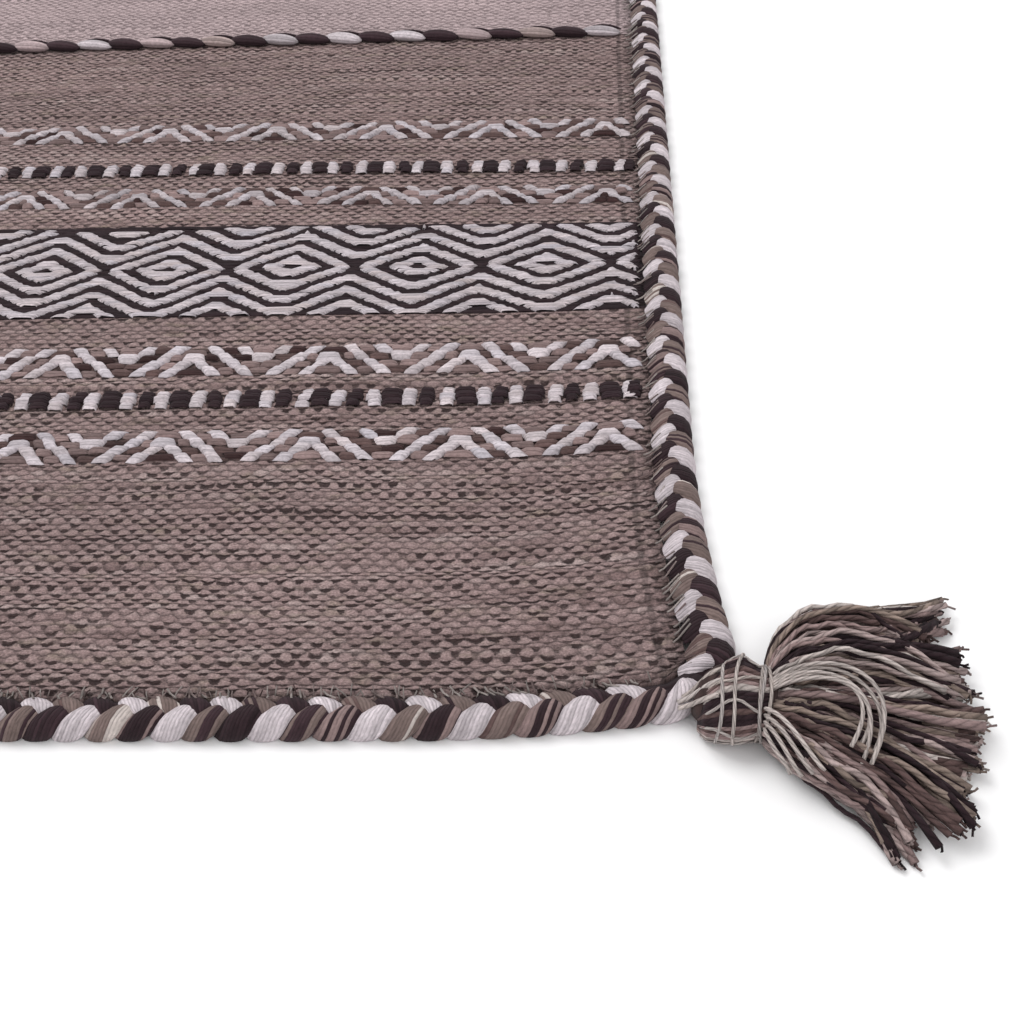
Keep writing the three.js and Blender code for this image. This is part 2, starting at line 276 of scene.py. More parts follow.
class Weave:
    """Plain weave in rows that wander, swell at each bump and narrow at the slits between bumps.

    edge and slit number the nearest edge between two rows and the slit on it. past and beside are a
    point's place from them. share is its place across its own row, and size and dome are its bump's."""

    def __init__(self, g):
        self.g = g
        self.x, self.y = g.split(g.attribute("weave", "Vector"))
        wander = self.grain(0.011, 0.02) - 0.5
        self.ripple = self.grain(0.17, 0.2) - 0.5
        uneven = g.noise(g.vector(3.0, self.y * 0.13), 1.0) - 0.5
        self.crinkle = self.grain(0.45, 0.6, 0.0, 3.0, 0.7) - 0.5
        bends = wander * 9.0 + (self.ripple * 2.6 + uneven * 7.0) + self.crinkle * 2.4
        rows = (self.y + bends) / PICK
        self.edge = g.math("ROUND", rows)
        self.slit, self.beside = weave_column(g, self.edge, self.x)
        swell = g.math("COSINE", self.beside * (2 * math.pi)) * ROW_SWELL
        self.past = rows - self.edge + swell
        above = g.math("GREATER_THAN", self.past, 0.0)
        row = self.edge - 1.0 + above
        half_past = self.past * 0.5
        share_above = half_past / (swell + 0.5)
        share_below = half_past / (0.5 - swell) + 1.0
        self.share = above * share_above + (1.0 - above) * share_below
        column, along = weave_column(g, row, self.x)
        self.size = g.chance(column, row, 3.0)
        self.dome = (1.0 - along * along * 3.2) * g.math("POWER", g.hump(self.share), 0.5)

    def grain(self, across, along, layer=0.0, detail=2.0, roughness=0.5):
        """Noise over the rug, with its waves for each millimetre across and along it."""
        place = self.g.vector(self.x * across, self.y * along, layer)
        return self.g.noise(place, detail, roughness)

    def shaded_pocket(self):
        """1 in the slits, which are darkened with painted shade, join into streaks along some rows and
        are missing in patches.
        """
        g = self.g
        luck = g.chance(self.slit, self.edge, 5.0)
        shift = (g.chance(self.slit, self.edge, 6.0) - 0.5) * 0.3
        edge_luck = g.chance(self.edge, 1.0, 8.0)
        streak = g.noise(g.vector(self.x * 0.011, self.edge * 3.7), 3.0, 0.6)
        patch = self.grain(0.02, 0.045, 0.0, 3.0, 0.6)
        merge = g.step(streak, 0.5, 0.68) * g.step(edge_luck, 0.45, 0.7)
        length = luck * 1.6 + (POCKET_LENGTH / 2 - 0.8) + merge * 3.0
        off = (self.past - shift) * PICK / (POCKET_WIDTH / 2)
        along = self.beside * BUMP / length
        lens = 1.0 - off * off - along * along
        lucky = (luck - 0.5) * 0.3 + (edge_luck - 0.5) * 0.22
        present = g.step(patch + lucky + merge * 0.25, 0.27, 0.56)
        return g.step(lens + self.crinkle * 1.6, -0.4, 0.5) * present

    def colour(self, from_middle, in_taupe):
        """Taupe and greige yarn, with painted shade under the zigzags, and black under the diamonds."""
        g = self.g
        tone = self.grain(0.006, 0.11, 0.0, 3.0, 0.6) + (self.size - 0.5) * 0.35
        hue = self.grain(0.05, 0.12, 9.0, 3.0, 0.65)
        taupe = g.mix(g.step(hue, 0.5, 0.75), TAUPE, TAUPE_OLIVE)
        taupe = g.mix(g.step(tone, 0.55, 0.9), taupe, TAUPE_PALE)
        taupe = g.mix(g.step(tone, 0.48, 0.2) * 0.6, taupe, TAUPE_DARK)
        greige = g.mix(g.step(tone, 0.2, 0.8), GREIGE * 0.88, GREIGE * 1.08)
        colour = g.mix(in_taupe, greige, taupe)
        in_pattern = g.step(abs(self.x), PATTERN_END - 2, PATTERN_END - 6)
        for zigzag in ZIGZAGS:
            aside = abs(from_middle - (BAND_CENTRE + zigzag["offset"]))
            under = g.step(aside, zigzag["height"] / 2 + 0.5, zigzag["height"] / 2 - 1.0)
            # Painted shade in the gaps between the zigzags' floats
            colour = g.mix(under * in_pattern, colour, TAUPE_DARK * 0.7)
        aside = abs(from_middle - (BAND_CENTRE + DIAMOND_OFFSET))
        return g.mix(g.step(aside, DIAMOND_HALF + 0.5, DIAMOND_HALF - 0.5), colour, BARK)

    def hem(self):
        """1 on the line where the cloth is turned in along its two long sides."""
        return self.g.step(abs(abs(self.x) + self.ripple * 2.0 - HEM_LINE), 2.0, 0.5)

    def shading(self, fibre, hem):
        g = self.g
        speck = g.step(self.grain(0.9, 1.1, 17.0, 2.0, 0.6), 0.3, 0.7)
        # Painted light and shade: each row lighter on its side towards +y and darker on the other, each
        # bump's top lighter and its ends and the row edges darker. The fibres, specks and slow change of
        # tone are the yarn's own.
        shading = g.step(self.share, 0.0, 0.8) * 0.34 + 0.8
        for value, factor, offset in (
            (g.step(self.dome, 0.0, 0.95), 0.42, 0.78),
            (fibre, 2.0, 0.0),
            (speck, 0.5, 0.75),
            (self.grain(0.006, 0.02, 30.0), 0.5, 0.75),
            # Painted shade in the fold along the hem line
            (hem, -0.38, 1.0),
        ):
            shading = shading * (value * factor + offset)
        return shading


def field_material():
    g = Graph("woven_field")
    weave = Weave(g)
    from_middle = abs(weave.y)
    in_taupe = g.step(from_middle, CORD_LINE - 0.5, CORD_LINE + 0.5)
    strength = in_taupe * 0.65 + 0.35
    shaded_pocket = weave.shaded_pocket()
    fibre = weave.grain(0.75, 1.4, 0.0, 4.0, 0.75)
    hem = weave.hem()
    colour = g.shade(weave.colour(from_middle, in_taupe), weave.shading(fibre, hem))
    # Painted shade: the pockets take the shade brown, less in the greige
    colour = g.mix(shaded_pocket * (strength * 0.88), colour, POCKET_SHADE)
    relief = weave.dome * (weave.size * 0.7 + 0.65) - shaded_pocket * 0.9 + fibre * 0.6 - hem * 0.6
    return g.finish(colour, relief * strength, WEAVE_RELIEF * MM)


def yarn_material(name, lines, twist, groove_shade, relief_size, accent_share):
    """Yarn whose colours come with the mesh: several yarns side by side round a strand, some of them
    in the accent colour, with fine fibres along them. twist is how many yarns pass by in a millimetre."""
    g = Graph(name)
    around, along = g.split(g.attribute("strand", "Vector"))
    turn = around * lines + along * twist
    yarn = g.math("FLOORED_MODULO", g.math("FLOOR", turn), lines)
    strand = g.math("FLOOR", along / STRAND_SPACING)
    pick = g.chance(yarn, strand, 1.0)
    tint = g.chance(yarn, strand, 2.0)
    groove = g.math("POWER", g.hump(g.math("FRACT", turn)), 0.8)
    fibre = g.noise(g.vector(around * 14.0, along * 0.5), 4.0, 0.7)
    cloud = g.noise(g.vector(around * 2.0, along * 0.1, 4.0))
    is_accent = g.step(pick, 1 - accent_share, 1.01 - accent_share)
    colour = g.mix(is_accent, g.attribute("yarn_colour", "Color"), g.attribute("accent_colour", "Color"))
    # groove_shade darkens the colour towards the grooves between the yarns, as painted shade. Tint,
    # fibres and cloud are the yarns' own tone.
    for value, factor, offset in (
        (tint, 0.3, 0.84),
        (groove, groove_shade, 1.0 - groove_shade),
        (fibre, 1.3, 0.35),
        (cloud, 0.5, 0.75),
    ):
        colour = g.shade(colour, value * factor + offset)
    return g.finish(colour, groove * 0.8 + fibre * 0.6, relief_size * MM)


class Joined:
    """Points, faces, colours and yarn coordinates of one joined mesh, in millimetres."""

    def __init__(self):
        self.count = 0
        self.points, self.colours, self.accents = [], [], []
        self.faces = {4: [], 3: []}
        self.coords = {4: [], 3: []}

    def add(self, points, colours, accents, *faces):
        """Copies of one shape, with points (copies, points, 3). colours and accents have one colour for
        all or one for each copy. faces are pairs: the corners of one copy's faces, and the coordinates
        of these corners in every copy."""
        copies, per_copy, _ = points.shape
        start = self.count + per_copy * np.arange(copies)[:, None, None]
        self.points.append(points.reshape(-1, 3))
        for kept, values in ((self.colours, colours), (self.accents, accents)):
            kept.append(np.repeat(np.broadcast_to(values, (copies, 3)), per_copy, axis=0))
        for corners, coords in faces:
            sides = corners.shape[1]
            self.faces[sides].append((corners + start).reshape(-1, sides))
            self.coords[sides].append(coords.reshape(-1, sides, 2))
        self.count += copies * per_copy

    def flip(self):
        """Turns every face over, as a mirrored mesh needs."""
        for groups in (self.faces, self.coords):
            for sides in groups:
                groups[sides] = [group[:, ::-1] for group in groups[sides]]

    def piece(self, name, material, slot, nodes):
        faces = [face for sides in (4, 3) for group in self.faces[sides] for face in group.tolist()]
        coords = np.concatenate([group.ravel() for sides in (4, 3) for group in self.coords[sides]])
        mesh = bpy.data.meshes.new(name)
        mesh.from_pydata(np.concatenate(self.points) * MM, [], faces)
        for attribute, parts in (("yarn_colour", self.colours), ("accent_colour", self.accents)):
            colours = np.concatenate(parts)
            rgba = np.concatenate([colours, np.ones((len(colours), 1))], 1)
            mesh.attributes.new(attribute, "FLOAT_COLOR", "POINT").data.foreach_set("color", rgba.ravel())
        mesh.uv_layers.new(name="strand").data.foreach_set("uv", coords)
        return place(name, mesh, material, slot, nodes)


def place(name, mesh, material, slot, nodes):
    mesh.polygons.foreach_set("use_smooth", np.ones(len(mesh.polygons), bool))
    mesh.materials.append(material)
    mesh.update()
    obj = add_object(name, mesh)
    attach(obj, "root")
    if nodes:
        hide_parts(*nodes)
    return obj


def grid_corners(rows, columns):
    """Number of the first corner of every face in a grid of points, as a column."""
    return (np.arange(rows - 1)[:, None] * columns + np.arange(columns - 1)).reshape(-1, 1)


def add_tubes(joined, paths, radii, sides, colours, accents=None, bend=None, roundness=1.0):
    """Closed tubes along paths (tubes, stations, 3). radii has a sideways and an upward half size, for
    all or for each station. colours and accents have one colour for all or one for each tube. bend
    moves the finished points. roundness below 1 makes the section fuller than an ellipse."""
    tubes, stations, _ = paths.shape
    ahead = np.gradient(paths, axis=1)
    ahead /= np.linalg.norm(ahead, axis=-1, keepdims=True)
    sideways = np.cross(ahead, (0, 0, 1.0))
    sideways /= np.maximum(np.linalg.norm(sideways, axis=-1, keepdims=True), 1e-6)
    upward = np.cross(sideways, ahead)
    angle = 2 * np.pi * np.arange(sides) / sides
    cosine, sine = (np.sign(f) * np.abs(f) ** roundness for f in (np.cos(angle), np.sin(angle)))
    radii = np.broadcast_to(radii, (tubes, stations, 2))
    out = cosine[:, None] * (sideways * radii[..., :1])[:, :, None]
    lift = sine[:, None] * (upward * radii[..., 1:])[:, :, None]
    rings = (paths[:, :, None] + out + lift).reshape(tubes, stations * sides, 3)
    points = np.concatenate([rings, paths[:, :1], paths[:, -1:]], 1)
    if bend is not None:
        points = bend(points)

    length = np.linalg.norm(np.diff(paths, axis=1), axis=-1)
    along = np.concatenate([np.zeros((tubes, 1)), np.cumsum(length, 1)], 1)
    along += STRAND_SPACING * rng.integers(0, 50, (tubes, 1))
    station, side = (grid.reshape(-1, 1) for grid in np.mgrid[:stations - 1, :sides])
    station = station + (0, 1, 1, 0)
    side = side + (0, 0, 1, 1)
    ring = station * sides + side % sides
    ring_coords = stacked(side / sides, along[:, station])

    each = np.arange(sides)[:, None]
    start_caps = (each + (0, 0, 1)) % sides
    start_caps[:, 0] = stations * sides
    end_caps = (each + (0, 1, 0)) % sides + (stations - 1) * sides
    end_caps[:, 0] = stations * sides + 1
    caps = np.concatenate([start_caps, end_caps])
    cap_side = np.tile(each + (0, 0, 1), (2, 1))
    cap_station = np.repeat([0, stations - 1], sides)[:, None]
    cap_coords = stacked(cap_side / sides, along[:, cap_station])
    accents = colours if accents is None else accents
    joined.add(points, colours, accents, (ring, ring_coords), (caps, cap_coords))


# Half capsules for the raised floats: shares of half length, half width and rise
FLOAT_ALONG = np.array([-1, -0.86, -0.5, 0.5, 0.86, 1])
FLOAT_WIDTH = np.array([0.85, 0.96, 1, 1, 0.96, 0.85])
FLOAT_LIFT = np.array([-0.3, 0.66, 1, 1, 0.66, -0.3])
FLOAT_ACROSS = np.array([-1, -0.52, 0.52, 1])
FLOAT_UNEVEN = 0.2
WARMTH = np.array([0.012, 0.0, -0.012])


def add_floats(joined, x, y, length, width, rise, colours, end, shear=0.0, groove=0.0):
    """One low rounded float for each x, y. Sizes are whole lengths and widths. end is -1 or 1. shear
    slides a float's far edge sideways, so that floats of neighbouring rows make one slanting line. It is
    one value for a float, or a pair of values for its two ends. groove is the height left at the float's
    two edges, as a share of its rise."""
    count, strips = len(x), len(FLOAT_ACROSS)
    first, last = shear if isinstance(shear, tuple) else (shear, shear)
    values = (x, y, length, width, rise, first, last)
    x, y, length, width, rise, first, last = (np.broadcast_to(v, count)[:, None, None] for v in values)
    station = FLOAT_ALONG[:, None]
    along = station * length / 2
    across = FLOAT_ACROSS * FLOAT_WIDTH[:, None] * width / 2
    slide = (first * (1 - station) + last * (1 + station)) / 2
    lift = FLOAT_LIFT[:, None] * np.where(FLOAT_LIFT[:, None] > 0, (groove, 1, 1, groove), 1)
    points = stacked(x + along + slide * across, end * (y + across), FIELD_TOP + rise * lift)
    points = settled(points + rng.normal(0, FLOAT_UNEVEN, points.shape))
    quads = grid_corners(len(FLOAT_ALONG), strips) + (0, strips, strips + 1, 1)
    if end < 0:
        quads = quads[:, ::-1]
    start = STRAND_SPACING * rng.integers(0, 50, (count, 1, 1))
    grid = stacked(0.5 + FLOAT_ACROSS * 0.3, along + start + 100).reshape(count, -1, 2)
    joined.add(points.reshape(count, -1, 3), colours, colours, (quads, grid[:, quads]))


def varied(colour, count, spread=0.08):
    """A colour for each of count yarns, a little lighter or darker and a little warmer or cooler."""
    lightness = 1 + rng.uniform(-spread, spread, (count, 1))
    return np.asarray(colour) * lightness * (1 + rng.normal(0, 1, (count, 1)) * WARMTH)


# Diamond band: white lines on dark, every line a step of the same height from the next
DIAMOND_ROWS = 32
DIAMOND_FIRST = 8.8
DIAMOND_SPACING = 12.2
DIAMOND_CORE = 5.2
DIAMOND_LINE = 6.2
DIAMOND_ROUND = 3.8
DIAMOND_SHIFT = 2.0
DIAMOND_SLOPE = 0.75
DIAMOND_TIP = 29.0
DIAMOND_TIP_ROWS = 4.5
DIAMOND_FAR_EDGE = 39.5
DIAMOND_RISE = 2.0
DIAMOND_DARK_RISE = 0.9
LONGEST_FLOAT = 24.0
SLANT_SHARE = 0.85
MOST_SLANT = 0.8


def from_repeat(x):
    """Distance from the nearest diamond's middle, with its sign."""
    return (x + REPEAT / 2) % REPEAT - REPEAT / 2


def soft(distance):
    """The distance, levelling off close to zero, which rounds the points of the diamonds."""
    halfway = math.hypot(REPEAT / 4, DIAMOND_ROUND) - REPEAT / 4
    return np.sqrt(distance ** 2 + DIAMOND_ROUND ** 2) - halfway


def white_in_diamonds(x, v):
    """Where a row at v from the band's middle shows white."""
    aside = np.abs(from_repeat(x))
    inner = soft(aside)
    outer = REPEAT / 2 - soft(REPEAT / 2 - aside)
    depth = np.abs(v) + DIAMOND_SLOPE * np.where(aside < REPEAT / 4, inner, outer)
    line = (depth - DIAMOND_FIRST) / DIAMOND_SPACING
    white = (np.abs(line - np.round(line)) < DIAMOND_LINE / DIAMOND_SPACING / 2) | (depth < DIAMOND_FIRST)
    white &= depth > DIAMOND_CORE
    past_tip = (aside > DIAMOND_TIP) & (np.abs(v) < DIAMOND_TIP_ROWS)
    return white & ~past_tip & (v < DIAMOND_FAR_EDGE)


def diamond_slant(x, v):
    """How far the diamonds' lines at x move sideways for each millimetre towards the rug's end."""
    offset = from_repeat(x)
    nearest = np.minimum(np.abs(offset), REPEAT / 2 - np.abs(offset))
    steepness = nearest / np.sqrt(nearest ** 2 + DIAMOND_ROUND ** 2)
    return np.sign(offset) * math.copysign(1 / DIAMOND_SLOPE, v) / np.maximum(steepness, 0.3)


def runs(code, x):
    """Starts, ends and values of the stretches where code stays the same."""
    change = np.flatnonzero(np.diff(code)) + 1
    edges = np.concatenate([[0], change, [len(code) - 1]])
    return x[edges[:-1]], x[edges[1:]], code[edges[:-1]]


def add_diamonds(joined, end):
    pitch = 2 * DIAMOND_HALF / DIAMOND_ROWS
    x = np.arange(-PATTERN_END, PATTERN_END + 0.1, 0.2)
    for row in range(DIAMOND_ROWS):
        v = -DIAMOND_HALF + (row + 0.5) * pitch
        shift = 1.2 * np.sin(x / 190 + 0.05 * v) + 0.05 * v * np.sin(x / 75) - DIAMOND_SHIFT
        swell = v + 0.9 * np.sin(x / 130) + 0.7 * np.sin(x / 23) + 0.5 * np.sin(x / 9.1 + 0.3 * row)
        white = white_in_diamonds(x + shift, swell)
        white &= np.abs(x) < PATTERN_END - rng.uniform(0.5, 3.5)
        start, stop, is_white = runs(white, x)
        left = diamond_slant(start + np.interp(start, x, shift), v)
        right = diamond_slant(stop + np.interp(stop, x, shift), v)
        parts = np.maximum(1, np.ceil((stop - start) / LONGEST_FLOAT).astype(int))
        size = np.repeat((stop - start) / parts, parts)
        order = np.concatenate([np.arange(n) for n in parts])
        middle = np.repeat(start, parts) + (order + 0.5) * size
        most = MOST_SLANT * size / pitch
        is_last = order == np.repeat(parts, parts) - 1
        left = np.clip(np.where(order == 0, SLANT_SHARE * np.repeat(left, parts), 0), -most, most)
        right = np.clip(np.where(is_last, SLANT_SHARE * np.repeat(right, parts), 0), -most, most)
        is_white = np.repeat(is_white, parts)
        count = len(middle)
        whites = varied(OFF_WHITE * 0.98, count, 0.08)
        darks = varied(BARK * 0.9, count, 0.2)
        colours = np.where(is_white[:, None], whites, darks)
        length = size + np.where(np.repeat(parts, parts) > 1, 2.4, 0.6)
        rise = np.where(is_white, DIAMOND_RISE, DIAMOND_DARK_RISE) * rng.uniform(0.88, 1.1, count)
        y = BAND_CENTRE + DIAMOND_OFFSET - v + rng.normal(0, 0.1, count)
        add_floats(joined, middle, y, length, pitch * 1.1, rise, colours, end, (left, right), 0.6)


# Zigzags: four rows of floats, stepping sideways from row to row. One row holds the points.
ZIGZAG_ROWS = 4
ZIGZAG_SPACING = 14.65
ZIGZAG_STEP = 5.0
ZIGZAG_POINT_ROW = 2
ZIGZAG_POINT_LENGTH = 5.4
ZIGZAG_LEAN = 0.8
ZIGZAG_POINT_LEAN = 0.45
ZIGZAG_RISE = 2.1
GROUND_LEAN = 0.35
GROUND_RISE = 1.7
LONGEST_GROUND_FLOAT = 14.0


def add_zigzag_row(joined, x, y, zigzag, length, shear, end):
    """White floats of one row, at the given places along it."""
    x = x[np.abs(x) < LAST_FLOAT]
    count = len(x)
    whites = varied(OFF_WHITE * zigzag["white"], count, 0.1)
    rise = ZIGZAG_RISE * rng.uniform(0.8, 1.15, count)
    length = length * rng.uniform(0.92, 1.1, count)
    width = zigzag["height"] / ZIGZAG_ROWS * rng.uniform(1.15, 1.35, count)
    x = x + rng.normal(0, 0.5, count)
    y = y + rng.normal(0, 0.3, count)
    add_floats(joined, x, y, length, width, rise, whites, end, shear, 0.2)


def add_ground_row(joined, x, y, pitch, length, shear, end):
    """Taupe and dark floats between the white ones of a zigzag's row."""
    x = x[np.abs(x) < LAST_FLOAT]
    count = len(x)
    picks = rng.uniform(size=(count, 1))
    ground = np.where(picks < 0.32, TAUPE, np.where(picks < 0.62, TAUPE * 0.78, TAUPE_DARK))
    # The darkest ground floats take the brown of the painted pocket shade, half as light again
    ground = np.where(picks > 0.85, POCKET_SHADE * 1.5, ground) * rng.uniform(0.8, 1.15, (count, 1))
    width = pitch * rng.uniform(0.65, 0.9, count)
    rise = GROUND_RISE * rng.uniform(0.6, 1.3, count)
    x = x + rng.normal(0, 0.5, count)
    y = y + rng.normal(0, 0.45, count)
    add_floats(joined, x, y, length, width, rise, ground, end, shear)


def add_zigzag(joined, zigzag, end):
    """Each point and turn of the lines is one float. So is the ground inside them, where it is short."""
    pitch = zigzag["height"] / ZIGZAG_ROWS
    slope = ZIGZAG_STEP / pitch
    turn = REPEAT / 2
    points = (np.arange(-10, 10) + 0.5) * REPEAT
    half_point = ZIGZAG_POINT_LENGTH / 2
    for row in range(ZIGZAG_ROWS):
        y = BAND_CENTRE + zigzag["offset"] - (row - (ZIGZAG_ROWS - 1) / 2) * pitch
        lines = ZIGZAG_STEP * (ZIGZAG_POINT_ROW - row) + ZIGZAG_SPACING * np.arange(4)
        lines = lines[(lines > -1) & (lines < turn)]
        turning = lines > turn - 6
        at_point = lines < 2
        lines = np.where(turning, turn - half_point, np.where(at_point, half_point, lines))
        length = np.where(turning | at_point, ZIGZAG_POINT_LENGTH, zigzag["length"])
        bounds = np.sort(np.concatenate([lines - length / 2, lines + length / 2]))
        gap_edges = np.concatenate([[0.0], bounds, [turn]])
        gaps = [(a, b) for a, b in zip(gap_edges[::2], gap_edges[1::2]) if b - a > 1.5]
        plain = lines[~turning & ~at_point]
        lean = ZIGZAG_LEAN * slope
        for hand in (1, -1):
            x = (points[:, None] + hand * plain).ravel()
            add_zigzag_row(joined, x, y, zigzag, zigzag["length"], hand * lean, end)
        lean = ZIGZAG_POINT_LEAN * slope
        if at_point.any():
            add_zigzag_row(joined, points, y, zigzag, 2 * ZIGZAG_POINT_LENGTH, (-lean, lean), end)
        if turning.any():
            add_zigzag_row(joined, points + turn, y, zigzag, 2 * ZIGZAG_POINT_LENGTH, (lean, -lean), end)
        lean = GROUND_LEAN * slope
        for low, high in gaps:
            size = high - low
            is_short = 2 * size < LONGEST_GROUND_FLOAT
            if low == 0 and is_short:
                add_ground_row(joined, points, y, pitch, 2 * size, (-lean, lean), end)
            elif high == turn and is_short:
                add_ground_row(joined, points + turn, y, pitch, 2 * size, (lean, -lean), end)
            else:
                for hand in (1, -1):
                    x = points + hand * (low + high) / 2
                    add_ground_row(joined, x, y, pitch, size, hand * lean, end)


# Block rows: dark and white blocks of three floats, at shares of half a repeat
BLOCK_PITCH = 3.9
BLOCK_WIDTH = BLOCK_PITCH * 1.12
BLOCKS = (
    {"at": 0.0, "length": 11.4, "colour": BARK, "spread": 0.2, "rise": 3.2, "groove": 0.6},
    {"at": 0.25, "length": 8.0, "colour": OFF_WHITE, "spread": 0.06, "rise": 2.8, "groove": 0.4},
    {"at": 0.5, "length": 7.8, "colour": BARK, "spread": 0.2, "rise": 3.0, "groove": 0.6},
    {"at": 0.75, "length": 8.0, "colour": OFF_WHITE, "spread": 0.06, "rise": 2.8, "groove": 0.4},
)


def add_blocks(joined, offset, end):
    places = REPEAT / 2 * np.arange(-18, 19)
    for block in BLOCKS:
        x = places + block["at"] * REPEAT / 2
        x = x[np.abs(x) < PATTERN_END + 2]
        x = np.clip(x, 3 - PATTERN_END, PATTERN_END - 3)
        count = len(x)
        x = x + rng.normal(0, 0.6, count)
        lean = rng.normal(0, 0.12, count)
        for row in (-1, 0, 1):
            y = BAND_CENTRE + offset - row * BLOCK_PITCH + rng.normal(0, 0.2, count)
            rise = block["rise"] * rng.uniform(0.92, 1.08, count) * (1.0 if row == 0 else 0.86)
            length = block["length"] * rng.uniform(0.94, 1.06, count) - (0.0 if row == 0 else 1.6)
            colours = varied(block["colour"], count, block["spread"])
            leaning = x + lean * row * BLOCK_PITCH
            add_floats(joined, leaning, y, length, BLOCK_WIDTH, rise, colours, end, 0.0, block["groove"])


def make_bands(end, name, material):
    diamonds = Joined()
    add_diamonds(diamonds, end)
    rows = Joined()
    for zigzag in ZIGZAGS:
        add_zigzag(rows, zigzag, end)
    for offset in BLOCK_OFFSETS:
        add_blocks(rows, offset, end)
    return [
        diamonds.piece(f"diamond_floats_{name}", material, "woven_field", ()),
        rows.piece(f"row_floats_{name}", material, "woven_field", ()),
    ]


def rounded(x, y):
    """Rounds the field's corners."""
    corner_x = FIELD_HALF_WIDTH - FIELD_CORNER_RADIUS
    corner_y = FIELD_HALF_LENGTH - FIELD_CORNER_RADIUS
    out_x = np.maximum(0, np.abs(x) - corner_x)
    out_y = np.maximum(0, np.abs(y) - corner_y)
    keep = np.minimum(1, FIELD_CORNER_RADIUS / np.maximum(np.hypot(out_x, out_y), 1e-6))
    place_x = np.minimum(np.abs(x), corner_x) + out_x * keep
    place_y = np.minimum(np.abs(y), corner_y) + out_y * keep
    return np.sign(x) * place_x, np.sign(y) * place_y


def make_field(material):
    columns = round(2 * FIELD_HALF_WIDTH / FIELD_STEP) + 1
    rows = round(2 * FIELD_HALF_LENGTH / FIELD_STEP) + 1
    x, y = np.meshgrid(np.linspace(-FIELD_HALF_WIDTH, FIELD_HALF_WIDTH, columns),
                       np.linspace(-FIELD_HALF_LENGTH, FIELD_HALF_LENGTH, rows))
    place_x, place_y = settle(*rounded(x, y))
    waves = np.sin(x / 41 + np.sin(y / 67)) * np.sin(y / 53 + 1.3 * np.sin(x / 90))
    top = FIELD_TOP + 0.3 * waves
    upper = stacked(place_x, place_y, top).reshape(-1, 3)
    lower = stacked(place_x, place_y, 0.0).reshape(-1, 3)
    face = grid_corners(rows, columns) + (0, 1, columns + 1, columns)
    under = rows * columns
    number = np.arange(under).reshape(rows, columns)
    rim = np.concatenate([number[0, :-1], number[:-1, -1], number[-1, :0:-1], number[:0:-1, 0]])
    following = np.roll(rim, -1)
    side = np.stack([rim + under, following + under, following, rim], -1)
    faces = np.concatenate([face, face[:, ::-1] + under, side])
    mesh = bpy.data.meshes.new("woven_field")
    mesh.from_pydata(np.concatenate([upper, lower]) * MM, [], faces.tolist())
    weave = np.tile(stacked(x, y, 0.0).reshape(-1, 3), (2, 1))
    mesh.attributes.new("weave", "FLOAT_VECTOR", "POINT").data.foreach_set("vector", weave.ravel())
    return place("woven_field", mesh, material, "woven_field", ("field",))


# Twisted cords: dark and pale lumps in turn, where one strand after the other comes over the top, and a
# thin dark turn behind every pale lump
CORD_LUMP = 21.6
CORD_LUMPS_TO_SIDE = 26
CORD_SIDES = 12
CORD_STATIONS = 11
CORD_LEVEL = 7.4
CORD_LUMP_REACH = 13.0
CORD_LUMP_SIZE = np.array([5.2, 3.1])
CORD_TURN_REACH = 12.5
CORD_TURN_RADIUS = 1.5
CORD_TURN_SHAPE = np.array([1.0, 0.8])


def make_cord(end, name, material):
    joined = Joined()
    number = np.arange(-CORD_LUMPS_TO_SIDE, CORD_LUMPS_TO_SIDE + 1)
    count = len(number)
    t = np.linspace(-1, 1, CORD_STATIONS)[None]
    centre = number[:, None] * CORD_LUMP + rng.normal(0, 0.5, (count, 1))
    x = centre + t * CORD_LUMP_REACH
    lean = 2.8 * t * rng.uniform(0.7, 1.3, (count, 1))
    y = end * CORD_LINE - lean
    z = CORD_LEVEL - 0.9 * t ** 2 + rng.normal(0, 0.1, (count, 1))
    fullness = np.maximum(1 - t ** 2, 0.02) ** 0.45 * rng.uniform(0.92, 1.08, (count, 1))
    picks = rng.uniform(size=(count, 1))
    pale = np.where(picks < 0.45, OFF_WHITE * 0.9, np.where(picks < 0.8, GREIGE * 1.2, TAUPE_PALE))
    is_dark = (number % 2 != 0)[:, None]
    colours = np.where(is_dark, BARK * rng.uniform(0.9, 1.3, (count, 1)), pale)
    accents = np.where(is_dark, BARK * 1.5, pale * 0.75)
    lumps = fullness[..., None] * CORD_LUMP_SIZE
    add_tubes(joined, stacked(x, y, z), lumps, CORD_SIDES, colours, accents, settled, 0.9)

    x = centre[number % 2 == 0] + t * CORD_TURN_REACH + 1.5
    y = end * CORD_LINE + 4.2 - 1.8 * t ** 2
    z = CORD_LEVEL + 1.6 - 1.8 * t ** 2
    thin = np.maximum(1 - t ** 2, 0.05) ** 0.5 * CORD_TURN_RADIUS
    turns = thin[..., None] * CORD_TURN_SHAPE
    add_tubes(joined, stacked(x, y, z), turns, 6, BARK, None, settled)
    return joined.piece(f"twisted_cord_{name}", material, "twisted_cord", (f"cord_{name}",))


